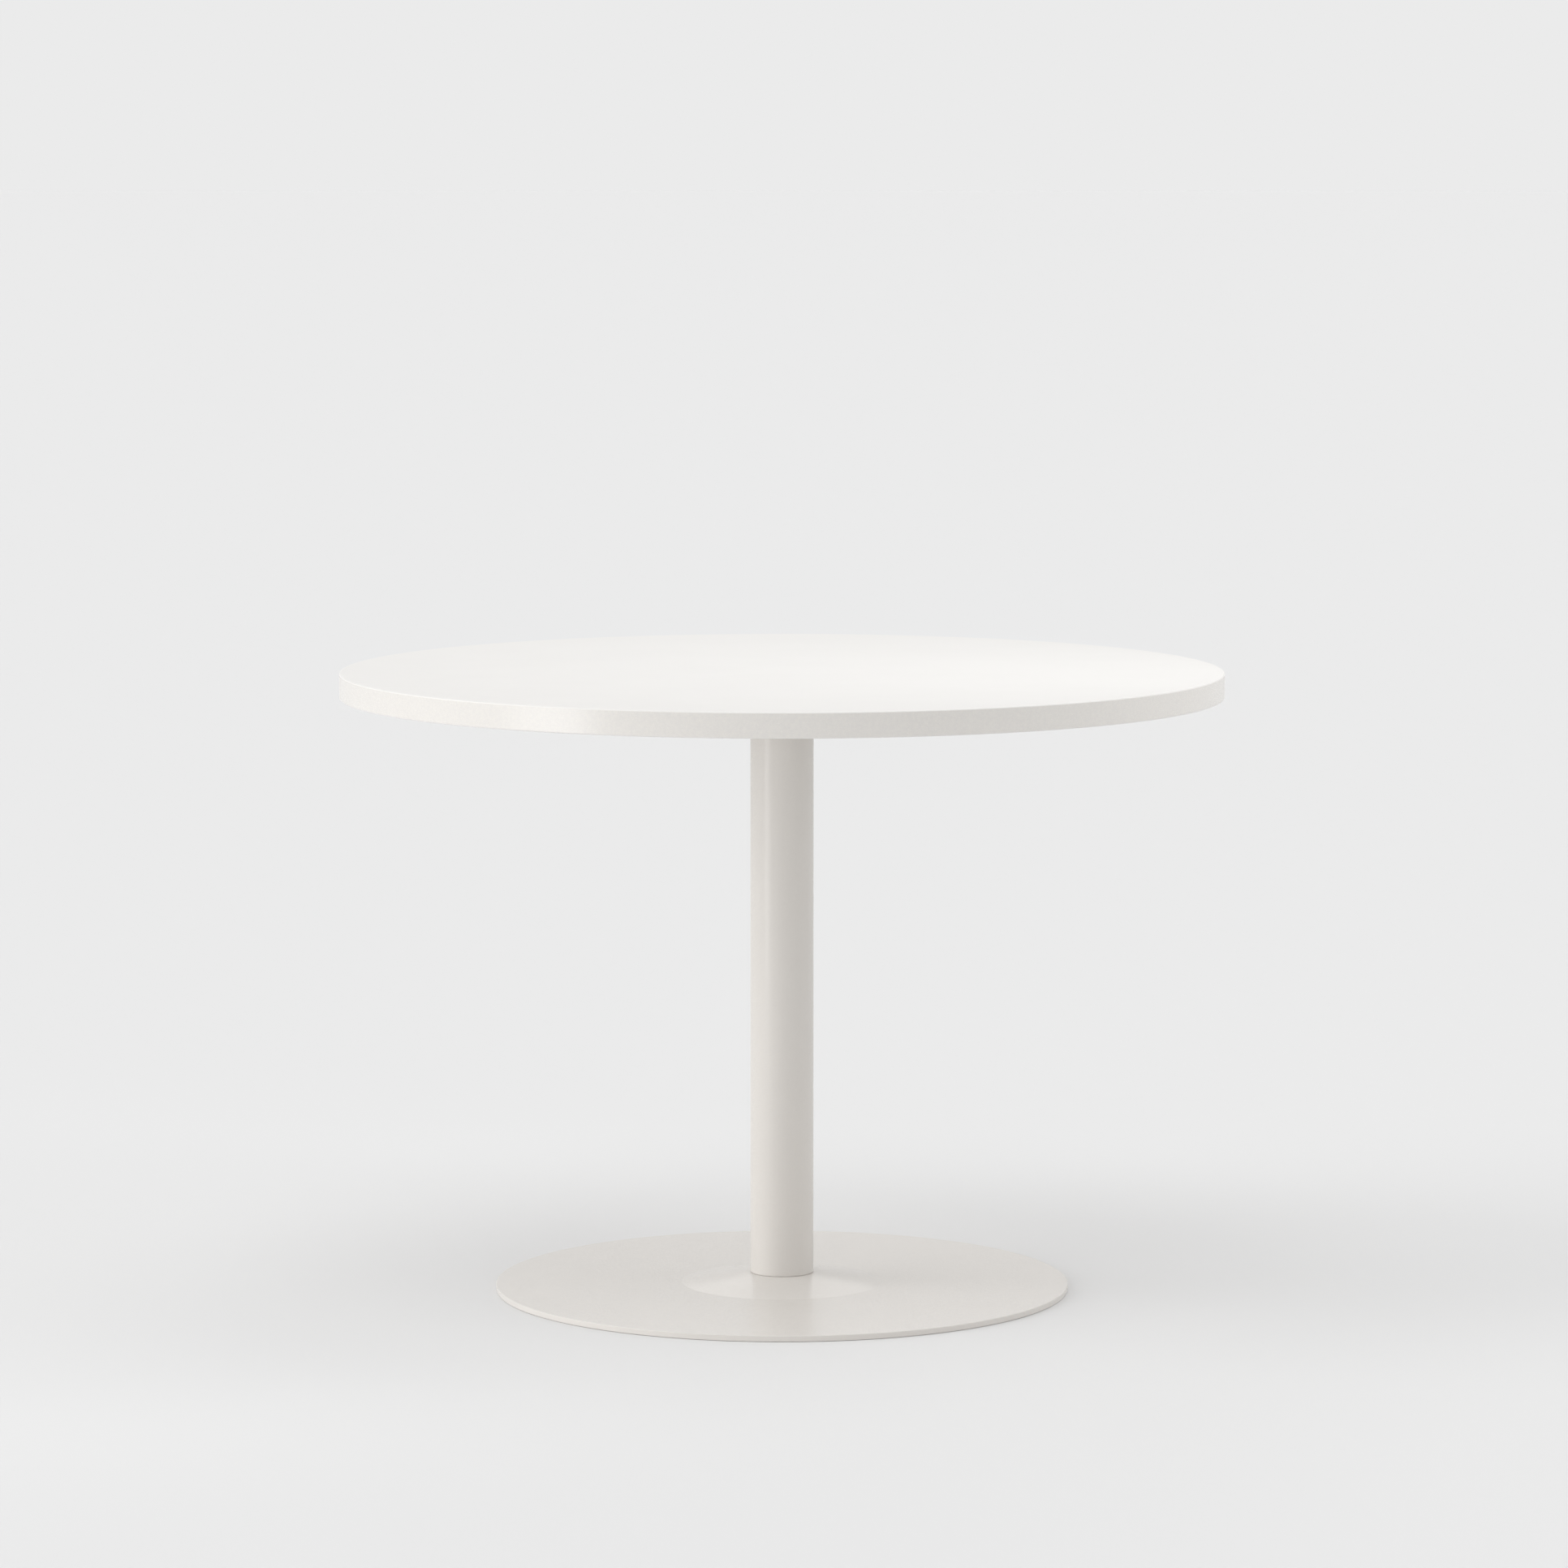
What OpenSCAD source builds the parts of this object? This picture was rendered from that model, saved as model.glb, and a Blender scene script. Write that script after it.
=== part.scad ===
// Round pedestal table: a laminated board top on a four-armed steel spider, a
// round tube column, and a pressed steel disc base that stands on glides let into it.
// Lengths are in millimetres. The origin is on the floor, on the column's axis,
// and +Z points up.

/* [Overall] */
// Height of the tabletop's upper face above the floor
table_h = 750; // [600:5:1100]

/* [Tabletop] */
// Diameter of the finished tabletop, over its edge band
top_d = 1060; // [800:10:1400]
// Thickness of the particle board core
core_t = 28; // [22:1:38]
// Thickness of each laminate sheet, above and below the core
laminate_t = 0.8; // [0.6:0.1:1.2]
// Thickness of the plastic edge band
band_t = 2; // [1.5:0.1:3]
// Radius milled on the band's two outer corners
band_corner_r = 1.5; // [0.5:0.1:1.5]

/* [Tabletop fixing] */
// Thread diameter of the tabletop screws
top_screw_d = 6; // [5:1:6]
// Length of a tabletop screw under its head
top_screw_l = 14; // [12:1:16]
// Diameter of a tabletop screw's head
top_screw_head_d = 12; // [11:0.5:13]
// Height of a tabletop screw's head
top_screw_head_h = 3.3; // [3:0.1:4]
// Width across flats of the hexagon socket in the head
top_screw_socket = 4; // [3:0.5:4]
// Outer diameter of a threaded insert
insert_d = 10; // [9:0.5:12]
// Length of a threaded insert
insert_l = 16; // [14:0.5:18]
// Radius from the column's axis to the inner ring of screws
inner_screw_r = 150; // [120:5:165]
// Distance from an arm's tip to its outer screw
outer_screw_inset = 20; // [16:1:26]

/* [Spider] */
// Distance across the spider, from arm tip to opposite arm tip
spider_span = 640; // [560:10:760]
// Radius from the column's axis to an arm's inner end
arm_inner_r = 42; // [40:1:50]
// Width of an arm, which ends in a round tip
arm_w = 38; // [30:1:50]
// Height of an arm where it stands on the centre plate
arm_root_h = 24; // [20:1:30]
// Height of an arm at its tip
arm_tip_h = 9; // [8:0.5:14]
// Thickness of the pressed sheet that an arm is made of
arm_sheet_t = 2.5; // [2:0.25:3]
// Outer radius of the bend between an arm's web and its flange
arm_bend_r = 4.5; // [3.5:0.5:6]
// Diameter of the centre plate
spider_plate_d = 170; // [150:5:200]
// Thickness of the centre plate
spider_plate_t = 6; // [5:0.5:8]

/* [Column] */
// Outer diameter of the column tube
column_d = 76.2; // [72:0.1:100]
// Wall of the column tube
column_wall = 2; // [1.5:0.1:3]
// Chamfer turned on the outer corner of the tube's two ends
column_chamfer = 0.8; // [0.3:0.1:1.2]
// Thickness of the threaded plate in the tube's upper end
column_top_plate_t = 8; // [8:0.5:12]
// Thickness of the threaded plate in the tube's lower end
column_foot_plate_t = 12; // [11:0.5:16]

/* [Column bolts] */
// Thread diameter of the bolts in the column's end plates
bolt_d = 8; // [6:1:8]
// Width across flats of a bolt's hexagon head
bolt_head_flats = 13; // [11:0.5:14]
// Height of a bolt's head
bolt_head_h = 5.3; // [4.5:0.1:6]
// Diameter of the circle that the bolts lie on
bolt_circle_d = 46; // [42:0.5:48]
// Length of a spider bolt under its head
spider_bolt_l = 16; // [14:0.5:16]
// Length of a base bolt under its head
base_bolt_l = 20; // [18:0.5:20]
// Outer diameter of a bolt's washer
washer_d = 16; // [15:0.5:17]
// Thickness of a bolt's washer
washer_t = 1.6; // [1:0.1:2]

/* [Base] */
// Diameter of the base disc
base_d = 692; // [500:2:900]
// Thickness of the steel that the base disc is pressed from
base_t = 7; // [5:0.5:8]
// Radius on the two corners of the base disc's rim
base_corner_r = 0.8; // [0.5:0.1:1.5]
// Diameter of the crease where the coned centre starts to rise
cone_d = 242; // [200:2:300]
// Height that the coned centre rises above the rim
cone_rise = 11.8; // [9:0.1:18]
// Radius that the sheet is bent to at the cone's two creases
crease_r = 14; // [10:1:20]
// Width of the flat land left showing round the column
land_w = 1.6; // [1.5:0.1:4]

/* [Glides] */
// Number of glides under the rim
glide_count = 8; // [4:1:16]
// Diameter of a glide
glide_d = 28; // [20:1:40]
// Thickness of a glide
glide_t = 2; // [1.5:0.1:3]
// How far a glide stands out of its pocket, which is the gap under the rim
glide_proud = 0.3; // [0.2:0.1:1]
// Distance from the rim to the nearest point of a glide
glide_inset = 12; // [8:1:25]

/* [Fits] */
// Radial play of a bolt, a screw or a washer in a plain hole
hole_play = 0.5; // [0.3:0.05:0.6]
// Radial play drawn between a thread and its threaded hole
thread_play = 0.05; // [0.02:0.01:0.1]
// Radial play of a glide in its pocket
glide_play = 0.2; // [0.1:0.05:0.4]

/* [Hidden] */

// Circles are true circles in the finished solids; this is how they are drawn
$fn = 96;

// What a cut runs past the face that it opens, so that it opens cleanly
cut = 1;

// The spider has one arm each way, turned to lie between the bolts
arm_count = 4;
first_arm_angle = 45;
bolt_count = 4;
// Straight steps that draw the bend at each crease of the base disc
bend_steps = 4;
// Depth of the hexagon socket in a screw's head
socket_depth = 2;
// Chamfer on the corners of screw heads and bolt heads
head_chamfer = 0.6;
// Radius that rounds a screw's head
screw_head_r = 1.5;

top_t = core_t + 2 * laminate_t;
core_d = top_d - 2 * band_t;
top_underside_z = table_h - top_t;
core_z = top_underside_z + laminate_t;

arm_underside_z = top_underside_z - arm_root_h;
spider_plate_z = arm_underside_z - spider_plate_t;
arm_tip_centre_r = (spider_span - arm_w) / 2;
arm_straight_l = arm_tip_centre_r - arm_inner_r;
// Half width of the flat web, inside the bends
arm_web_r = arm_w / 2 - arm_bend_r;
outer_screw_r = spider_span / 2 - outer_screw_inset;
screw_ring_radii = [inner_screw_r, outer_screw_r];
screw_head_top_z = top_underside_z - arm_sheet_t;

// Underside of the base disc's rim
rim_z = glide_proud;
column_foot_z = rim_z + base_t + cone_rise;
column_l = spider_plate_z - column_foot_z;
column_bore_d = column_d - 2 * column_wall;
land_r = column_d / 2 + land_w;
bolt_face_z = rim_z + cone_rise;

glide_circle_r = base_d / 2 - glide_inset - glide_d / 2;

// ---------------------------------------------------------------- helpers

// A round rod with its axis on Z, standing on z
module rod(d, h, z = 0) {
    translate([0, 0, z])
        cylinder(d = d, h = h);
}

// A hole through a plate of thickness t whose lower face is at z
module through_hole(d, t, z) {
    rod(d, t + 2 * cut, z - cut);
}

// Copies on the circle of bolts, one between each two arms
module at_each_bolt() {
    for (i = [0 : bolt_count - 1])
        rotate([0, 0, i * 360 / bolt_count])
            translate([bolt_circle_d / 2, 0, 0])
                children();
}

// Copies at each tabletop screw on one arm that lies along X
module at_each_screw_of_an_arm() {
    for (r = screw_ring_radii)
        translate([r, 0, 0])
            children();
}

// Copies at each glide under the rim
module at_each_glide() {
    for (i = [0 : glide_count - 1])
        rotate([0, 0, (i + 0.5) * 360 / glide_count])
            translate([glide_circle_r, 0, 0])
                children();
}

// Copies turned to each arm's direction
module along_each_arm() {
    for (i = [0 : arm_count - 1])
        rotate([0, 0, first_arm_angle + i * 360 / arm_count])
            children();
}

// Copies at every tabletop screw
module at_each_tabletop_screw() {
    along_each_arm()
        at_each_screw_of_an_arm()
            children();
}

// A flat ring with its axis on Z, standing on z
module ring(outer_d, inner_d, h, z) {
    difference() {
        rod(outer_d, h, z);
        through_hole(inner_d, h, z);
    }
}

// Half section of a disc's rim with both corners rounded: r is the outer
// radius, w the width of the section, t its thickness and corner the radius
module round_rim_section(r, w, t, corner) {
    translate([r - w, 0])
        square([w - corner, t]);
    translate([r - w, corner])
        square([w, t - 2 * corner]);
    for (y = [corner, t - corner])
        translate([r - corner, y])
            circle(corner);
}

// A bolt's hexagon head with its free face chamfered, from z = 0 up
module hex_head() {
    across_corners = bolt_head_flats / cos(30);
    intersection() {
        cylinder(d = across_corners, h = bolt_head_h, $fn = 6);
        rotate_extrude()
            polygon([
                [0, 0],
                [across_corners / 2, 0],
                [across_corners / 2, bolt_head_h - head_chamfer],
                [bolt_head_flats / 2, bolt_head_h],
                [0, bolt_head_h]
            ]);
    }
}

// A bolt with its head on top: its seat is at z = 0 and its shank points down
module bolt(shank_l) {
    hex_head();
    rod(bolt_d, shank_l + cut, -shank_l);
}

// A plain washer for a bolt, from z = 0 up
module washer() {
    ring(washer_d, bolt_d + 2 * hole_play, washer_t, 0);
}

// ---------------------------------------------------------------- tabletop

module top_laminate() {
    color("#f4f2ef")
        rod(core_d, laminate_t, core_z + core_t);
}

module tabletop_core() {
    color("#c9ad84")
        difference() {
            rod(core_d, core_t, core_z);
            // Blind pockets that the inserts are driven into
            at_each_tabletop_screw()
                rod(insert_d, insert_l + cut, core_z - cut);
        }
}

module backing_laminate() {
    color("#efedea")
        difference() {
            rod(core_d, laminate_t, top_underside_z);
            at_each_tabletop_screw()
                through_hole(insert_d, laminate_t, top_underside_z);
        }
}

module edge_band() {
    color("#f1efec")
        translate([0, 0, top_underside_z])
            rotate_extrude()
                round_rim_section(top_d / 2, band_t, top_t, band_corner_r);
}

// Steel sleeves with an inner thread, seated on the bottom of their pockets
module threaded_inserts() {
    color("#b9a25e")
        at_each_tabletop_screw()
            ring(insert_d, top_screw_d + 2 * thread_play, insert_l, core_z);
}

// Screws driven from below through the arms, with rounded socket heads
module tabletop_screws() {
    color("#a9abad")
        at_each_tabletop_screw()
            translate([0, 0, screw_head_top_z])
                mirror([0, 0, 1])
                    tabletop_screw();
}

// One screw with its head on top: its seat is at z = 0, its shank points down
module tabletop_screw() {
    difference() {
        union() {
            rotate_extrude()
                intersection() {
                    union() {
                        square([top_screw_head_d / 2, top_screw_head_h - screw_head_r]);
                        square([top_screw_head_d / 2 - screw_head_r, top_screw_head_h]);
                        translate([
                            top_screw_head_d / 2 - screw_head_r,
                            top_screw_head_h - screw_head_r
                        ])
                            circle(screw_head_r);
                    }
                    square([top_screw_head_d, top_screw_head_h]);
                }
            rod(top_screw_d, top_screw_l + cut, -top_screw_l);
        }
        translate([0, 0, top_screw_head_h - socket_depth])
            cylinder(d = top_screw_socket / cos(30), h = socket_depth + cut, $fn = 6);
    }
}

// ---------------------------------------------------------------- spider

module spider_plate() {
    color("#e4e1db")
        difference() {
            rod(spider_plate_d, spider_plate_t, spider_plate_z);
            at_each_bolt()
                through_hole(bolt_d + 2 * hole_play, spider_plate_t, spider_plate_z);
        }
}

// Section across an arm's edge, with X outwards and Y up: the end of the web,
// the bend and the flange that hangs from it. X = 0 is where the bend starts
module arm_edge_section() {
    inner_bend_r = arm_bend_r - arm_sheet_t;
    translate([-cut, -arm_sheet_t])
        square([cut, arm_sheet_t]);
    translate([inner_bend_r, -arm_root_h])
        square([arm_sheet_t, arm_root_h - arm_bend_r]);
    translate([0, -arm_bend_r])
        intersection() {
            difference() {
                circle(arm_bend_r);
                circle(inner_bend_r);
            }
            square(arm_bend_r);
        }
}

// The flat web inside the bends, with a round tip
module arm_web() {
    translate([arm_inner_r, -arm_web_r, -arm_sheet_t])
        cube([arm_straight_l, 2 * arm_web_r, arm_sheet_t]);
    translate([arm_tip_centre_r, 0, 0])
        rod(2 * arm_web_r, arm_sheet_t, -arm_sheet_t);
}

// The bend and flange along one straight side
module arm_side_edge() {
    translate([arm_inner_r, arm_web_r, 0])
        rotate([90, 0, 90])
            linear_extrude(arm_straight_l)
                arm_edge_section();
}

// The bend and flange round the tip, from one straight side to the other
module arm_tip_edge() {
    translate([arm_tip_centre_r, 0, 0])
        rotate([0, 0, -90])
            rotate_extrude(angle = 180)
                translate([arm_web_r, 0])
                    arm_edge_section();
}

// Side view of an arm along X, with Y as height: level over the centre plate,
// then rising to the tip
module arm_side() {
    polygon([
        [arm_inner_r, cut],
        [arm_inner_r, -arm_root_h],
        [spider_plate_d / 2, -arm_root_h],
        [spider_span / 2, -arm_tip_h],
        [spider_span / 2 + cut, -arm_tip_h],
        [spider_span / 2 + cut, cut]
    ]);
}

// A pressed channel: the web lies against the tabletop, and a flange hangs from
// it along both sides and round the tip
module spider_arm(index) {
    color("#e4e1db")
        rotate([0, 0, first_arm_angle + index * 360 / arm_count])
            translate([0, 0, top_underside_z])
                difference() {
                    intersection() {
                        union() {
                            arm_web();
                            arm_tip_edge();
                            arm_side_edge();
                            mirror([0, 1, 0])
                                arm_side_edge();
                        }
                        translate([0, arm_w, 0])
                            rotate([90, 0, 0])
                                linear_extrude(2 * arm_w)
                                    arm_side();
                    }
                    at_each_screw_of_an_arm()
                        through_hole(top_screw_d + 2 * hole_play, arm_sheet_t, -arm_sheet_t);
                }
}

// Bolts set from above, down through the centre plate into the column
module spider_bolts() {
    color("#a9abad")
        at_each_bolt()
            translate([0, 0, arm_underside_z + washer_t])
                bolt(spider_bolt_l);
}

module spider_washers() {
    color("#bcbec0")
        at_each_bolt()
            translate([0, 0, arm_underside_z])
                washer();
}

// ---------------------------------------------------------------- column

module column_tube() {
    color("#e2dfd9")
        translate([0, 0, column_foot_z])
            rotate_extrude()
                polygon([
                    [column_bore_d / 2, 0],
                    [column_d / 2 - column_chamfer, 0],
                    [column_d / 2, column_chamfer],
                    [column_d / 2, column_l - column_chamfer],
                    [column_d / 2 - column_chamfer, column_l],
                    [column_bore_d / 2, column_l]
                ]);
}

// A plate that fills the tube's bore, flush with its end, threaded for the bolts
module column_end_plate(t, z) {
    difference() {
        rod(column_bore_d, t, z);
        at_each_bolt()
            through_hole(bolt_d + 2 * thread_play, t, z);
    }
}

module column_top_plate() {
    color("#9b9d9f")
        column_end_plate(column_top_plate_t, spider_plate_z - column_top_plate_t);
}

module column_foot_plate() {
    color("#9b9d9f")
        column_end_plate(column_foot_plate_t, column_foot_z);
}

// ---------------------------------------------------------------- base

// Points of a bend from the horizontal to the slope of the cone, seen in half
// section: x and y are the crease, side is 1 where the sheet turns up from the
// rim and -1 where it levels out at the land
function bend(x, y, slope, side) = [
    for (i = [0 : bend_steps])
        let (
            turn = slope * i / bend_steps,
            run = crease_r * tan(slope / 2)
        )
        side > 0
            ? [x + run - crease_r * sin(turn), y + crease_r * (1 - cos(turn))]
            : [
                x - run + crease_r * sin(slope - turn),
                y - crease_r * (1 - cos(slope - turn))
            ]
];

// Upper surface of the pressed centre in half section, from the rim inwards,
// with the rim's surface at height y
function pressed_curve(y) =
    let (slope = atan(cone_rise / (cone_d / 2 - land_r)))
    concat(
        bend(cone_d / 2, y, slope, 1),
        bend(land_r, y + cone_rise, slope, -1)
    );

// The sheet's section: its lower surface is the upper one, one thickness down
module base_section() {
    flat_r = cone_d / 2 + crease_r;
    upper = pressed_curve(rim_z + base_t);
    lower = pressed_curve(rim_z);
    polygon(concat(
        [[flat_r, rim_z + base_t]],
        upper,
        [[0, column_foot_z], [0, bolt_face_z]],
        [for (i = [len(lower) - 1 : -1 : 0]) lower[i]],
        [[flat_r, rim_z]]
    ));
    translate([0, rim_z])
        round_rim_section(base_d / 2, base_d / 2 - flat_r, base_t, base_corner_r);
}

module base_disc() {
    color("#e5e2dc")
        difference() {
            rotate_extrude()
                base_section();
            at_each_bolt()
                through_hole(bolt_d + 2 * hole_play, base_t, bolt_face_z);
            at_each_glide()
                rod(glide_d + 2 * glide_play, glide_t + cut, -cut);
        }
}

// Bolts set from below, up through the base disc into the column
module base_bolts() {
    color("#a9abad")
        at_each_bolt()
            translate([0, 0, bolt_face_z - washer_t])
                mirror([0, 0, 1])
                    bolt(base_bolt_l);
}

module base_washers() {
    color("#bcbec0")
        at_each_bolt()
            translate([0, 0, bolt_face_z - washer_t])
                washer();
}

// Round pads glued into the rim's pockets, which keep the steel off the floor
module base_glides() {
    color("#6d6c6a")
        at_each_glide()
            rod(glide_d, glide_t);
}

// ---------------------------------------------------------------- nodes

top_laminate();
tabletop_core();
backing_laminate();
edge_band();
threaded_inserts();
tabletop_screws();
spider_plate();
spider_arm(0);  // spider_arm_1
spider_arm(1);  // spider_arm_2
spider_arm(2);  // spider_arm_3
spider_arm(3);  // spider_arm_4
spider_bolts();
spider_washers();
column_top_plate();
column_tube();
column_foot_plate();
base_disc();
base_bolts();
base_washers();
base_glides();
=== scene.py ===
"""Looks of the round pedestal table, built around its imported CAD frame.

Lengths are in metres, in the frame of the CAD model: the origin is on the floor on the
column's axis, +Z points up and the front of the table faces -Y.
"""
import math

import bpy
import numpy as np
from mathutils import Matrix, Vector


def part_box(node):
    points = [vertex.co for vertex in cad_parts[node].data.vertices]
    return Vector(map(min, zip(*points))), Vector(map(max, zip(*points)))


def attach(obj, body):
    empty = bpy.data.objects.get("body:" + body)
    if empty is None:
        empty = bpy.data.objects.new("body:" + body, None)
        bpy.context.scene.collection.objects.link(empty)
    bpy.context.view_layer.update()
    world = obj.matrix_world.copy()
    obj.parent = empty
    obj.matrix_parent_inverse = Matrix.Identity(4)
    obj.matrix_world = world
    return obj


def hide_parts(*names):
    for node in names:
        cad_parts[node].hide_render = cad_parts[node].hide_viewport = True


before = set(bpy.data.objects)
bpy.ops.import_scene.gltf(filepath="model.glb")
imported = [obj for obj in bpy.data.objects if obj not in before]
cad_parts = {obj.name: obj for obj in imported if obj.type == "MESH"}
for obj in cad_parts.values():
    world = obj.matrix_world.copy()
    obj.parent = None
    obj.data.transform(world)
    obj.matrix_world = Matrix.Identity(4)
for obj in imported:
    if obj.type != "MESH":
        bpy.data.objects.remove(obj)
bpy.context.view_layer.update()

MM = 0.001
TURN = 2 * math.pi


# ---------------------------------------------------------------- sizes from the frame

def outer_radius(node):
    """Radius of a round node: what fits inside its box on all four sides."""
    low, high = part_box(node)
    return min(-low.x, -low.y, high.x, high.y)


def heights(node):
    """Lowest and highest Z of a node."""
    low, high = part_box(node)
    return low.z, high.z


TOP_RADIUS = outer_radius("edge_band")
SHEET_RADIUS = outer_radius("top_laminate")
COLUMN_RADIUS = outer_radius("column_tube")
PLATE_RADIUS = outer_radius("spider_plate")
BASE_RADIUS = outer_radius("base_disc")
UNDERSIDE_Z, TABLE_Z = heights("edge_band")
RIM_LOW_Z, LAND_Z = heights("base_disc")
ARM_FOOT_Z = heights("spider_arm_1")[0]

# What the boxes don't tell, as in the CAD model
BAND_CORNER = 1.5 * MM
RIM_CORNER = 0.8 * MM
RIM_THICKNESS = 7 * MM
CONE_RADIUS = 121 * MM
CREASE_RADIUS = 14 * MM
TUBE_WALL = 2 * MM
LAND_WIDTH = 1.6 * MM
ARM_INNER = 42 * MM
ARM_SPAN = 640 * MM
ARM_WIDTH = 38 * MM
ARM_TIP_HEIGHT = 9 * MM
ARM_SHEET = 2.5 * MM
ARM_BEND = 4.5 * MM
FIRST_ARM_ANGLE = TURN / 8
ARM_COUNT = 4
GLIDE_RADIUS = 14 * MM
GLIDE_CIRCLE = 320 * MM
GLIDE_COUNT = 8

# Joint between the laminate and the edge band
HAIRLINE = 0.02 * MM

# Small roundings that the CAD model leaves sharp, or rounds less
JOINT_CORNER = 0.04 * MM
INNER_CORNER = 0.15 * MM
TUBE_CORNER = 1.2 * MM
PLATE_CORNER = 0.6 * MM
GLIDE_CORNER = 0.6 * MM
FLANGE_CORNER = 0.7 * MM

# Distance under which two points are one
SAME_SPOT = 1e-7

# How finely the surfaces are drawn
RIM_SEGMENTS = 360
TUBE_SEGMENTS = 192
PLATE_SEGMENTS = 128
GLIDE_SEGMENTS = 64
ARM_STATIONS = 40
TIP_STATIONS = 23
WEB_STEPS = 4
BEND_STEPS = 8
EDGE_STEPS = 4


# ---------------------------------------------------------------- surfaces

def weld(points, quads):
    """Joins the points that coincide and turns the quads they close up into triangles."""
    grains = np.round(points / SAME_SPOT).astype(np.int64)
    _, first, new_index = np.unique(grains, axis=0, return_index=True, return_inverse=True)
    quads = new_index.reshape(-1)[quads]
    corners = np.roll(quads, -1, axis=1) != quads
    whole = quads[corners.all(axis=1)]
    pinched = corners.sum(axis=1) == 3
    triangles = quads[pinched][corners[pinched]].reshape(-1, 3)
    return points[first], whole.tolist() + triangles.tolist()


def grid_quads(rows, columns, closed_rows=False, closed_columns=False):
    """Quads between neighbours of a grid that is numbered row by row. Seen from outside, rows
    run upwards and columns run to the right."""
    row = np.arange(rows if closed_rows else rows - 1)
    column = np.arange(columns if closed_columns else columns - 1)
    row, column = (g.ravel() for g in np.meshgrid(row, column, indexing="ij"))
    above, beside = (row + 1) % rows, (column + 1) % columns
    return np.stack([
        row * columns + column,
        row * columns + beside,
        above * columns + beside,
        above * columns + column,
    ], axis=1)


def piece(name, points, quads, material, node):
    """A smooth mesh object that rides on the table, stands for a CAD node and takes a finish."""
    vertices, faces = weld(points, quads)
    mesh = bpy.data.meshes.new(name)
    mesh.from_pydata(vertices, [], faces)
    mesh.polygons.foreach_set("use_smooth", np.ones(len(faces), bool))
    mesh.materials.append(material)
    made = bpy.data.objects.new(name, mesh)
    bpy.context.scene.collection.objects.link(made)
    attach(made, "root")
    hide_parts(node)


def rounded(corners, steps, overshoot=1.3):
    """Outline with rounded corners, from rows of (x, y, radius). Each corner becomes the arc
    that touches both of its sides. One more point on each side, overshoot times as far from
    the corner as the arc's end, keeps the flat beside it evenly shaded. A corner of radius 0
    stays sharp."""
    corners = np.array(corners, float)
    spot, radius = corners[:, :2], corners[:, 2:]
    back = np.roll(spot, 1, axis=0) - spot
    ahead = np.roll(spot, -1, axis=0) - spot
    back /= np.linalg.norm(back, axis=1, keepdims=True)
    ahead /= np.linalg.norm(ahead, axis=1, keepdims=True)
    half_angle = np.arccos(np.clip((back * ahead).sum(axis=1, keepdims=True), -1, 1)) / 2
    reach = radius / np.tan(half_angle)
    between = back + ahead
    between /= np.linalg.norm(between, axis=1, keepdims=True)
    centre = spot + between * radius / np.sin(half_angle)
    share = np.linspace(0, 1, steps + 1)[None, :, None]
    sweep = (math.pi - 2 * half_angle)[:, None]
    start = (spot + back * reach - centre)[:, None]
    end = (spot + ahead * reach - centre)[:, None]
    arc = (np.sin((1 - share) * sweep) * start + np.sin(share * sweep) * end) / np.sin(sweep)
    rows = np.concatenate([
        (spot + back * reach * overshoot)[:, None],
        centre[:, None] + arc,
        (spot + ahead * reach * overshoot)[:, None],
    ], axis=1).reshape(-1, 2)
    step = np.linalg.norm(np.roll(rows, -1, axis=0) - rows, axis=1)
    return rows[step > SAME_SPOT]


def turned(outline, segments, places=((0.0, 0.0),)):
    """Points and quads of a closed outline turned round an upright axis at each place: a point
    at angle a is (x + radius cos a, y + radius sin a, height). The outline is
    anticlockwise in (radius, height), so the faces point outwards."""
    radius, height = outline[:, 0, None], outline[:, 1, None]
    angle = np.arange(segments) * TURN / segments
    around = [radius * np.cos(angle), radius * np.sin(angle), height]
    one = np.stack(np.broadcast_arrays(*around), axis=-1)
    shift = np.array([[x, y, 0] for x, y in places])
    points = one[None] + shift[:, None, None]
    quads = grid_quads(len(outline), segments, closed_rows=True, closed_columns=True)
    each = np.arange(len(places))[:, None, None] * len(outline) * segments
    return points.reshape(-1, 3), (quads[None] + each).reshape(-1, 4)


def ring_of(count, radius, first_angle):
    """Places evenly spaced on a circle round the column's axis."""
    angle = first_angle + np.arange(count) * TURN / count
    return np.stack([radius * np.cos(angle), radius * np.sin(angle)], axis=1)


# ---------------------------------------------------------------- colours and materials

def linear(hex_colour):
    """An sRGB hex colour as the linear RGBA that shaders take."""
    value = np.array([int(hex_colour[i:i + 2], 16) for i in (1, 3, 5)]) / 255
    value = np.where(value <= 0.04045, value / 12.92, ((value + 0.055) / 1.055) ** 2.4)
    return (*value.tolist(), 1.0)


def add(tree, kind, sockets=None, **settings):
    """Adds a shader node. Settings are its properties, and sockets its inputs, by name or
    number, each given a value, an output, or a node that stands for its first output in use."""
    made = tree.nodes.new("ShaderNode" + kind)
    for name, value in settings.items():
        setattr(made, name, value)
    in_use = {socket.name: socket for socket in made.inputs if socket.enabled}
    for key, value in (sockets or {}).items():
        socket = made.inputs[key] if isinstance(key, int) else in_use[key]
        if isinstance(value, bpy.types.Node):
            value = next(output for output in value.outputs if output.enabled)
        if isinstance(value, bpy.types.NodeSocket):
            tree.links.new(value, socket)
        else:
            socket.default_value = value
    return made


def per_metre(size):
    """Texture scale at which one feature of a pattern is about size across."""
    return 1 / size


def empty_material(name):
    """A material without nodes, and its node tree."""
    made = bpy.data.materials.new(name)
    made.use_nodes = True
    made.node_tree.nodes.clear()
    return made, made.node_tree


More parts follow.
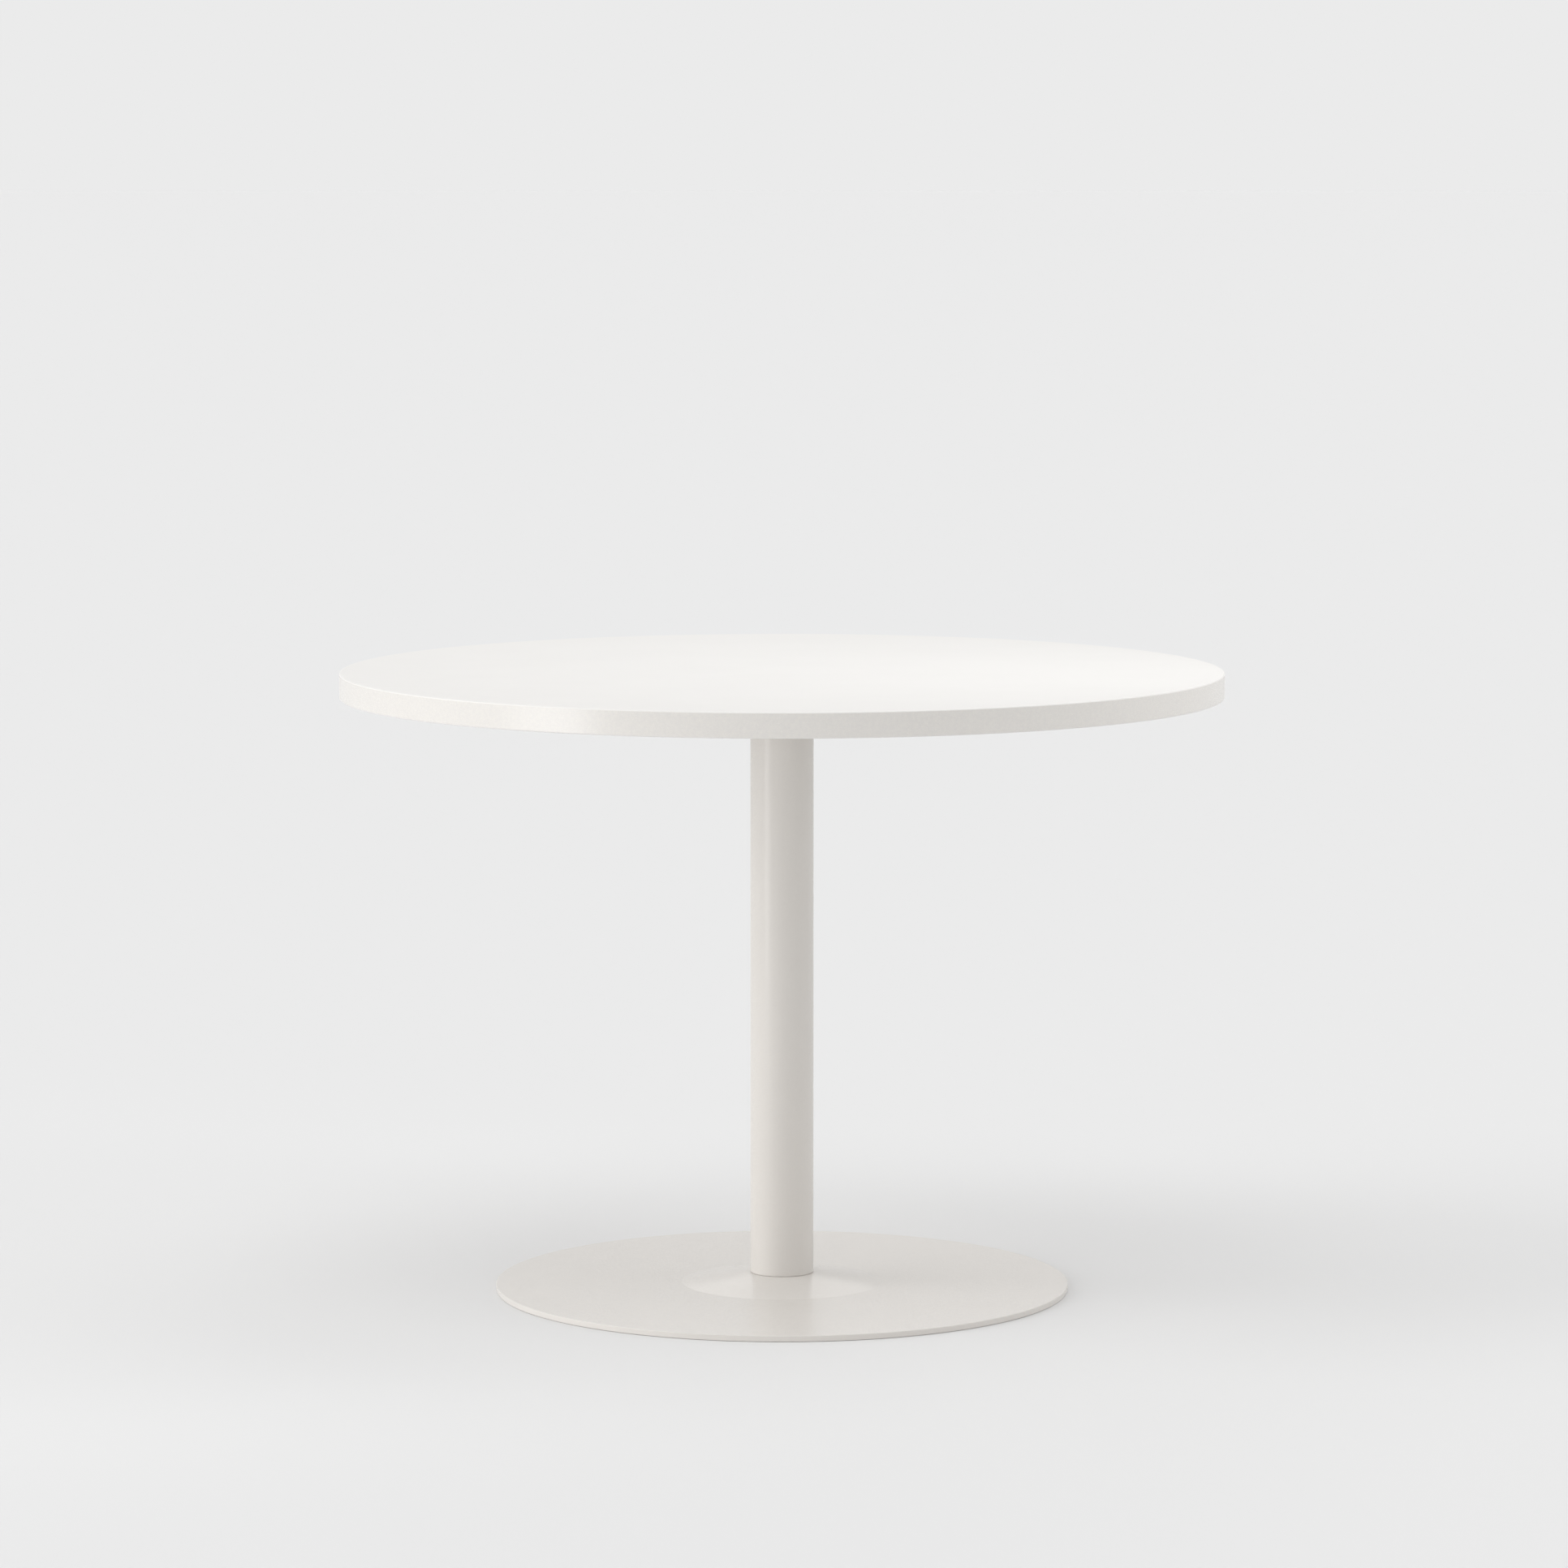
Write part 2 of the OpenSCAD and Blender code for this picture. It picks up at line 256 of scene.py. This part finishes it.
def finished(finish):
    """Material named after its finish: a function that adds the patterns, laid out in the
    object's own coordinates, and gives the inputs of the one Principled shader."""
    made, tree = empty_material(finish.__name__)
    where = add(tree, "TexCoord").outputs["Object"]
    shader = add(tree, "BsdfPrincipled", finish(tree, where))
    add(tree, "OutputMaterial", {"Surface": shader})
    return made


# The part of a noise's values that nearly all of it falls in
NOISE_SPAN = {"From Min": 0.35, "From Max": 0.65}


def high_pressure_laminate(tree, where):
    """White melamine laminate pressed against a fine matt plate: the plate's grain, about
    0.5 mm, breaks up reflections, and the white is very slightly uneven."""
    grain = add(tree, "TexNoise", {"Vector": where, "Scale": per_metre(0.5 * MM), "Detail": 3})
    cloud = add(tree, "TexNoise", {"Vector": where, "Scale": per_metre(90 * MM)})
    share = add(tree, "MapRange", {"Value": cloud, **NOISE_SPAN})
    whites = {"A": linear("#e0dedb"), "B": linear("#e1dfdc")}
    dullness = {"To Min": 0.38, "To Max": 0.46}
    return {
        "Base Color": add(tree, "Mix", {"Factor": share, **whites}, data_type="RGBA"),
        "Roughness": add(tree, "MapRange", {"Value": grain, **NOISE_SPAN, **dullness}),
        "IOR": 1.5,
        "Normal": add(tree, "Bump", {"Height": grain, "Distance": 0.006 * MM}),
    }


def abs_edging(tree, where):
    """White ABS edge band, extruded smooth with faint waves. Its two corners are milled round
    after gluing and are as matt as the laminate. They are painted lighter there: a painted highlight."""
    waves = add(tree, "TexNoise", {"Vector": where, "Scale": per_metre(4 * MM)})
    share = add(tree, "MapRange", {"Value": waves, **NOISE_SPAN})
    whites = {"A": linear("#dcd9d5"), "B": linear("#dfdcd7")}
    face = add(tree, "Mix", {"Factor": share, **whites}, data_type="RGBA")
    grain = add(tree, "TexNoise", {"Vector": where, "Scale": per_metre(0.8 * MM)})
    gloss = {"To Min": 0.22, "To Max": 0.28}
    face_dullness = add(tree, "MapRange", {"Value": grain, **NOISE_SPAN, **gloss})

    # Away from the band's middle, the mask of the milled corners goes from 0 to 1 over the first half
    # of a corner. It paints the corners lighter, a painted highlight, and makes them duller.
    middle, reach = (TABLE_Z + UNDERSIDE_Z) / 2, (TABLE_Z - UNDERSIDE_Z) / 2
    height = add(tree, "SeparateXYZ", {"Vector": where}).outputs["Z"]
    offset = add(tree, "Math", {0: height, 1: middle}, operation="SUBTRACT")
    away = add(tree, "Math", {0: offset}, operation="ABSOLUTE")
    corner = {"From Min": reach - BAND_CORNER, "From Max": reach - BAND_CORNER / 2}
    milled_corner_highlight = add(tree, "MapRange", {"Value": away, **corner})
    # The lighter colour along the milled corners is a painted highlight
    colours = {"Factor": milled_corner_highlight, "A": face, "B": linear("#e5e3e0")}
    return {
        "Base Color": add(tree, "Mix", colours, data_type="RGBA"),
        "Roughness": add(tree, "MapRange", {"Value": milled_corner_highlight, "To Min": face_dullness, "To Max": 0.42}),
        "IOR": 1.53,
        "Normal": add(tree, "Bump", {"Height": waves, "Distance": 0.0025 * MM}),
    }


def polyester_powder_coat(tree, where):
    """Warm white polyester powder coat, sprayed dry and baked: it flows to a satin film with
    a slight orange peel, about 2 mm from hill to hill. Between its smooth spots lie duller
    ones, finely pitted, so that a clear reflection shows through a soft one."""
    peel = add(tree, "TexNoise", {"Vector": where, "Scale": per_metre(2 * MM), "Detail": 1})
    grain = add(tree, "TexNoise", {"Vector": where, "Scale": per_metre(0.4 * MM)})
    cloud = add(tree, "TexNoise", {"Vector": where, "Scale": per_metre(60 * MM)})
    share = add(tree, "MapRange", {"Value": cloud, **NOISE_SPAN})
    whites = {"A": linear("#dad6d1"), "B": linear("#dbd7d2")}
    spots = {"From Min": 0.47, "From Max": 0.53, "To Min": 0.18, "To Max": 0.55}
    pits = add(tree, "Bump", {"Height": grain, "Distance": 0.002 * MM})
    return {
        "Base Color": add(tree, "Mix", {"Factor": share, **whites}, data_type="RGBA"),
        "Roughness": add(tree, "MapRange", {"Value": grain, **spots}),
        "IOR": 1.5,
        "Normal": add(tree, "Bump", {"Height": peel, "Distance": 0.012 * MM, "Normal": pits}),
    }


def zinc_plated_steel(tree, where):
    """Bright zinc plate over rolled steel: a bluish metal, clouded by the bath."""
    cloud = add(tree, "TexNoise", {"Vector": where, "Scale": per_metre(3 * MM), "Detail": 4})
    scratch = add(tree, "TexNoise", {"Vector": where, "Scale": per_metre(0.3 * MM)})
    share = add(tree, "MapRange", {"Value": cloud, **NOISE_SPAN})
    greys = {"A": linear("#b4b8bd"), "B": linear("#ccced0")}
    dullness = {"To Min": 0.26, "To Max": 0.42}
    return {
        "Base Color": add(tree, "Mix", {"Factor": share, **greys}, data_type="RGBA"),
        "Metallic": 1.0,
        "Roughness": add(tree, "MapRange", {"Value": cloud, **NOISE_SPAN, **dullness}),
        "Normal": add(tree, "Bump", {"Height": scratch, "Distance": 0.003 * MM}),
    }


def mild_steel(tree, where):
    """Plain cut plate with its dark rolled skin, never seen once the tube is closed."""
    skin = add(tree, "TexNoise", {"Vector": where, "Scale": per_metre(6 * MM), "Detail": 5})
    share = add(tree, "MapRange", {"Value": skin, **NOISE_SPAN})
    greys = {"A": linear("#5f6062"), "B": linear("#7e7f81")}
    dullness = {"To Min": 0.42, "To Max": 0.62}
    return {
        "Base Color": add(tree, "Mix", {"Factor": share, **greys}, data_type="RGBA"),
        "Metallic": 1.0,
        "Roughness": add(tree, "MapRange", {"Value": skin, **NOISE_SPAN, **dullness}),
        "Normal": add(tree, "Bump", {"Height": skin, "Distance": 0.02 * MM}),
    }


def yellow_passivated_zinc(tree, where):
    """Zinc with a yellow chromate film, drifting from straw to green gold."""
    drift = add(tree, "TexNoise", {"Vector": where, "Scale": per_metre(4 * MM), "Detail": 3})
    share = add(tree, "MapRange", {"Value": drift, **NOISE_SPAN})
    golds = {"A": linear("#c2a864"), "B": linear("#b9b274")}
    dullness = {"To Min": 0.28, "To Max": 0.40}
    return {
        "Base Color": add(tree, "Mix", {"Factor": share, **golds}, data_type="RGBA"),
        "Metallic": 1.0,
        "Roughness": add(tree, "MapRange", {"Value": drift, **NOISE_SPAN, **dullness}),
    }


def particle_board(tree, where):
    """Pressed wood chips, 1 to 4 mm long, in mixed light browns."""
    chips = add(tree, "TexVoronoi", {"Vector": where, "Scale": per_metre(2.5 * MM)})
    tone = add(tree, "SeparateColor", {"Color": chips.outputs["Color"]})
    browns = {"A": linear("#b08d5f"), "B": linear("#dcc39a")}
    return {
        "Base Color": add(tree, "Mix", {"Factor": tone, **browns}, data_type="RGBA"),
        "Roughness": 0.85,
        "IOR": 1.5,
        "Normal": add(tree, "Bump", {"Height": chips.outputs["Distance"], "Distance": 0.2 * MM}),
    }


def nylon(tree, where):
    """Grey moulded nylon pads, rubbed duller where they meet the floor."""
    rub = add(tree, "TexNoise", {"Vector": where, "Scale": per_metre(1.5 * MM), "Detail": 3})
    share = add(tree, "MapRange", {"Value": rub, **NOISE_SPAN})
    greys = {"A": linear("#63625f"), "B": linear("#71706d")}
    dullness = {"To Min": 0.42, "To Max": 0.58}
    return {
        "Base Color": add(tree, "Mix", {"Factor": share, **greys}, data_type="RGBA"),
        "Roughness": add(tree, "MapRange", {"Value": rub, **NOISE_SPAN, **dullness}),
        "IOR": 1.53,
        "Normal": add(tree, "Bump", {"Height": rub, "Distance": 0.02 * MM}),
    }


LAMINATE = finished(high_pressure_laminate)
EDGING = finished(abs_edging)
POWDER = finished(polyester_powder_coat)
ZINC = finished(zinc_plated_steel)
STEEL = finished(mild_steel)
YELLOW_ZINC = finished(yellow_passivated_zinc)
BOARD = finished(particle_board)
NYLON = finished(nylon)


# ---------------------------------------------------------------- tabletop

def laminate_sheet(name):
    """Disc of laminate: a flat outline with eased edges, turned round the axis."""
    low, high = heights(name)
    edge = SHEET_RADIUS - HAIRLINE
    outline = rounded([
        (0, low, 0),
        (edge, low, JOINT_CORNER),
        (edge, high, JOINT_CORNER),
        (0, high, 0),
    ], steps=3)
    points, quads = turned(outline, RIM_SEGMENTS)
    piece(name + "_sheet", points, quads, LAMINATE, name)


def edge_band():
    """Band round the top: an upright strip, two outer corners milled round, turned."""
    outline = rounded([
        (SHEET_RADIUS, UNDERSIDE_Z, JOINT_CORNER),
        (TOP_RADIUS, UNDERSIDE_Z, BAND_CORNER),
        (TOP_RADIUS, TABLE_Z, BAND_CORNER),
        (SHEET_RADIUS, TABLE_Z, JOINT_CORNER),
    ], steps=8)
    points, quads = turned(outline, RIM_SEGMENTS)
    piece("edge_band_ring", points, quads, EDGING, "edge_band")


laminate_sheet("top_laminate")
laminate_sheet("backing_laminate")
edge_band()


# ---------------------------------------------------------------- spider

def arm_section():
    """Sheet section of one half of an arm, in rows: how far out from the line where the bend
    starts, how far down, and 1 where that is counted from the flange's lower edge instead of
    the web's face. It runs from the arm's middle over the web, round the bend, down the
    flange, round its edge and back on the inside."""
    inside_bend = ARM_BEND - ARM_SHEET
    web = np.linspace(ARM_BEND - ARM_WIDTH / 2, 0, WEB_STEPS + 1)[:-1]
    bend = np.linspace(0, TURN / 4, BEND_STEPS + 1)
    edge = np.linspace(0, TURN / 4, EDGE_STEPS + 1)
    past_edge = 3 * FLANGE_CORNER
    parts = [
        (web, 0, 0),
        (ARM_BEND * np.sin(bend), ARM_BEND * (1 - np.cos(bend)), 0),
        (ARM_BEND, -past_edge, 1),
        (ARM_BEND - FLANGE_CORNER * (1 - np.cos(edge)), -FLANGE_CORNER * (1 - np.sin(edge)), 1),
        (inside_bend + FLANGE_CORNER * (1 - np.sin(edge)), -FLANGE_CORNER * (1 - np.cos(edge)), 1),
        (inside_bend, -past_edge, 1),
        (inside_bend * np.sin(bend[::-1]), ARM_BEND - inside_bend * np.cos(bend[::-1]), 0),
        (web[::-1], ARM_SHEET, 0),
    ]
    return np.concatenate(
        [np.stack(np.broadcast_arrays(*map(np.atleast_1d, part))) for part in parts], axis=1)


def arm_path():
    """Stations of an arm: x of the arm's middle, and the angle its side faces, along one side,
    round the tip and back along the other side."""
    tip = ARM_SPAN / 2 - ARM_WIDTH / 2
    straight = np.linspace(ARM_INNER, tip, ARM_STATIONS)
    round_tip = np.linspace(-TURN / 4, TURN / 4, TIP_STATIONS + 2)[1:-1]
    middle = np.concatenate([straight, np.full(len(round_tip), tip), straight[::-1]])
    facing = np.concatenate([
        np.full(len(straight), -TURN / 4), round_tip, np.full(len(straight), TURN / 4)])
    return middle, facing


def spider_arm(index):
    """Pressed channel arm: its path carries its section, and the flange's depth falls evenly
    from the centre plate's rim to the tip. Two caps close the cut inner end."""
    outward, down, from_edge = arm_section()
    middle, facing = arm_path()
    reach = ARM_WIDTH / 2 - ARM_BEND + outward
    along = middle[:, None] + reach * np.cos(facing)[:, None]
    sideways = reach * np.sin(facing)[:, None]
    root_height = UNDERSIDE_Z - ARM_FOOT_Z
    taper = np.clip((along - PLATE_RADIUS) / (ARM_SPAN / 2 - PLATE_RADIUS), 0, 1)
    flange = root_height + (ARM_TIP_HEIGHT - root_height) * taper
    height = UNDERSIDE_Z - down - from_edge * flange

    angle = FIRST_ARM_ANGLE + index * TURN / ARM_COUNT
    points = np.stack([
        along * math.cos(angle) - sideways * math.sin(angle),
        along * math.sin(angle) + sideways * math.cos(angle),
        height,
    ], axis=-1)
    stations, ring = height.shape
    outer = np.arange(ring // 2 - 1)
    cap = np.stack([outer, outer + 1, ring - 2 - outer, ring - 1 - outer], axis=1)
    first_cap = cap[:, ::-1]
    last_cap = cap + (stations - 1) * ring
    quads = np.concatenate([grid_quads(stations, ring), first_cap, last_cap])
    name = f"spider_arm_{index + 1}"
    piece(name + "_channel", points.reshape(-1, 3), quads, POWDER, name)


def spider_plate():
    """Round centre plate with eased edges, turned."""
    low, high = heights("spider_plate")
    outline = rounded([
        (0, low, 0),
        (PLATE_RADIUS, low, PLATE_CORNER),
        (PLATE_RADIUS, high, PLATE_CORNER),
        (0, high, 0),
    ], steps=4)
    points, quads = turned(outline, PLATE_SEGMENTS)
    piece("spider_centre_plate", points, quads, POWDER, "spider_plate")


for arm in range(ARM_COUNT):
    spider_arm(arm)
spider_plate()


# ---------------------------------------------------------------- column and base

def column():
    """Tube with rounded outer corners at both cut ends, turned."""
    low, high = heights("column_tube")
    bore = COLUMN_RADIUS - TUBE_WALL
    outline = rounded([
        (bore, low, INNER_CORNER),
        (COLUMN_RADIUS, low, TUBE_CORNER),
        (COLUMN_RADIUS, high, TUBE_CORNER),
        (bore, high, INNER_CORNER),
    ], steps=6)
    points, quads = turned(outline, TUBE_SEGMENTS)
    piece("column_post", points, quads, POWDER, "column_tube")


def base():
    """Pressed disc: a flat rim, a crease where the cone starts to rise, a second crease where
    it levels out under the column, and the lower face one thickness below, turned."""
    rim_top = RIM_LOW_Z + RIM_THICKNESS
    land = COLUMN_RADIUS + LAND_WIDTH
    hollow_z = LAND_Z - RIM_THICKNESS
    outline = rounded([
        (0, hollow_z, 0),
        (land, hollow_z, CREASE_RADIUS),
        (CONE_RADIUS, RIM_LOW_Z, CREASE_RADIUS),
        (BASE_RADIUS, RIM_LOW_Z, RIM_CORNER),
        (BASE_RADIUS, rim_top, RIM_CORNER),
        (CONE_RADIUS, rim_top, CREASE_RADIUS),
        (land, LAND_Z, CREASE_RADIUS),
        (0, LAND_Z, 0),
    ], steps=6)
    points, quads = turned(outline, RIM_SEGMENTS)
    piece("base_plate", points, quads, POWDER, "base_disc")


def glides():
    """Round pads let into the rim's underside on a circle, with eased lower edges, turned."""
    low, high = heights("base_glides")
    outline = rounded([
        (0, low, 0),
        (GLIDE_RADIUS, low, GLIDE_CORNER),
        (GLIDE_RADIUS, high, INNER_CORNER),
        (0, high, 0),
    ], steps=4)
    places = ring_of(GLIDE_COUNT, GLIDE_CIRCLE, TURN / GLIDE_COUNT / 2)
    points, quads = turned(outline, GLIDE_SEGMENTS, places)
    piece("glide_pads", points, quads, NYLON, "base_glides")


column()
base()
glides()


# ---------------------------------------------------------------- carried-over CAD nodes

CARRIED = {
    "tabletop_core": BOARD,
    "threaded_inserts": YELLOW_ZINC,
    "tabletop_screws": ZINC,
    "spider_bolts": ZINC,
    "spider_washers": ZINC,
    "column_top_plate": STEEL,
    "column_foot_plate": STEEL,
    "base_bolts": ZINC,
    "base_washers": ZINC,
}
for node_name, node_material in CARRIED.items():
    node_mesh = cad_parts[node_name].data
    node_mesh.materials.clear()
    node_mesh.materials.append(node_material)


# ---------------------------------------------------------------- studio

# The air goes from the backdrop's grey to the ceiling's between two angles above the horizon
BACKDROP = "#ebebeb"
CEILING = "#dcdcdc"
FADE_FROM = math.radians(2)
FADE_TO = math.radians(14)

PAPER = "#e4e4e4"
FLOOR_RADIUS = 100.0
FLOOR_LAP = 5 * MM
FLOOR_SEGMENTS = 128

# Name, azimuth from the front towards +X, elevation, width and strength: degrees and W/m2
SOFT_LIGHTS = [
    ("left", -90, 10, 34, 0.71),
    ("left_above", -75, 38, 36, 0.42),
    ("left_front_above", -60, 65, 36, 0.09),
    ("left_back_above", -120, 65, 36, 0.07),
    ("front_above", 0, 65, 36, 0.29),
    ("right", 110, 10, 34, 0.18),
    ("right_above", 75, 38, 36, 0.05),
    ("back_above", 120, 65, 36, 0.22),
    ("back", 180, 27, 24, 0.11),
]

# Name, azimuth, distance from the axis, height, height it faces, side and power: metres and W
SOFT_BOXES = [
    ("left_box", -56, 2.6, 0.5, 0.5, 1.0, 1.17),
    ("right_box", 80, 1.2, 1.6, 0.6, 0.5, 0.51),
]
GRID_SPREAD = math.radians(60)

# The camera's place and reach in metres, its turns in radians, its lens in millimetres
CAMERA_SPOT = (0, -7.568, 1.4236)
CAMERA_DOWN = 0.1067
CAMERA_ASIDE = -0.00032
CAMERA_LENS = 145.4
CAMERA_SENSOR = 36.0
CAMERA_REACH = 400.0


def studio_floor():
    """A wide matt sheet, clear from below so that the table's underside can be looked at. It is
    open under the base, short of the rim, which lets light reach the base from below."""
    material, tree = empty_material("studio_paper")
    matt = add(tree, "BsdfDiffuse", {"Color": linear(PAPER)})
    clear = add(tree, "BsdfTransparent")
    behind = add(tree, "NewGeometry").outputs["Backfacing"]
    sheet = add(tree, "MixShader", {0: behind, 1: matt, 2: clear})
    add(tree, "OutputMaterial", {"Surface": sheet})

    radius = np.array([FLOOR_RADIUS, BASE_RADIUS - FLOOR_LAP])[:, None]
    angle = np.arange(FLOOR_SEGMENTS) * TURN / FLOOR_SEGMENTS
    around = [radius * np.cos(angle), radius * np.sin(angle), 0]
    points = np.stack(np.broadcast_arrays(*around), axis=-1).reshape(-1, 3)
    quads = grid_quads(2, FLOOR_SEGMENTS, closed_columns=True)
    mesh = bpy.data.meshes.new("studio_floor")
    mesh.from_pydata(points, [], quads.tolist())
    mesh.materials.append(material)
    floor = bpy.data.objects.new("studio_floor", mesh)
    bpy.context.scene.collection.objects.link(floor)


def studio_air():
    """Light from all round: as bright as the paper near the horizon, where the floor runs into
    it, and fading to a dimmer ceiling above."""
    world = bpy.data.worlds.new("studio")
    world.use_nodes = True
    tree = world.node_tree
    tree.nodes.clear()
    towards = add(tree, "TexCoord").outputs["Generated"]
    rise = add(tree, "SeparateXYZ", {"Vector": towards}).outputs["Z"]
    fade = {"Value": rise, "From Min": math.sin(FADE_FROM), "From Max": math.sin(FADE_TO)}
    share = add(tree, "MapRange", fade, interpolation_type="SMOOTHSTEP")
    greys = {"A": linear(BACKDROP), "B": linear(CEILING)}
    shade = add(tree, "Mix", {"Factor": share, **greys}, data_type="RGBA")
    add(tree, "OutputWorld", {"Surface": add(tree, "Background", {"Color": shade})})
    bpy.context.scene.world = world


def soft_light(name, azimuth, elevation, width, strength):
    """A wide soft light, far away."""
    data = bpy.data.lights.new(name, "SUN")
    data.energy = strength
    data.angle = math.radians(width)
    light = bpy.data.objects.new(name, data)
    light.rotation_euler = (math.radians(90 - elevation), 0, math.radians(azimuth))
    bpy.context.scene.collection.objects.link(light)


def soft_box(name, azimuth, distance, height, faced_height, side, power):
    """A square lit panel behind a grid that narrows its beam, turned to face a point on the
    column's axis."""
    data = bpy.data.lights.new(name, "AREA")
    data.size = side
    data.energy = power
    data.spread = GRID_SPREAD
    azimuth = math.radians(azimuth)
    tilt = math.atan2(height - faced_height, distance)
    box = bpy.data.objects.new(name, data)
    box.location = (distance * math.sin(azimuth), -distance * math.cos(azimuth), height)
    box.rotation_euler = (TURN / 4 - tilt, 0, azimuth)
    box.visible_camera = False
    bpy.context.scene.collection.objects.link(box)


def camera():
    """Seen from the front, a little above the tabletop, through a long lens."""
    data = bpy.data.cameras.new("camera")
    data.sensor_width = CAMERA_SENSOR
    data.lens = CAMERA_LENS
    data.clip_end = CAMERA_REACH
    made = bpy.data.objects.new("camera", data)
    made.location = CAMERA_SPOT
    made.rotation_euler = (TURN / 4 - CAMERA_DOWN, 0, CAMERA_ASIDE)
    bpy.context.scene.collection.objects.link(made)
    bpy.context.scene.camera = made


studio_floor()
studio_air()
for light in SOFT_LIGHTS:
    soft_light(*light)
for panel in SOFT_BOXES:
    soft_box(*panel)
camera()
bpy.context.scene.view_settings.view_transform = "Standard"
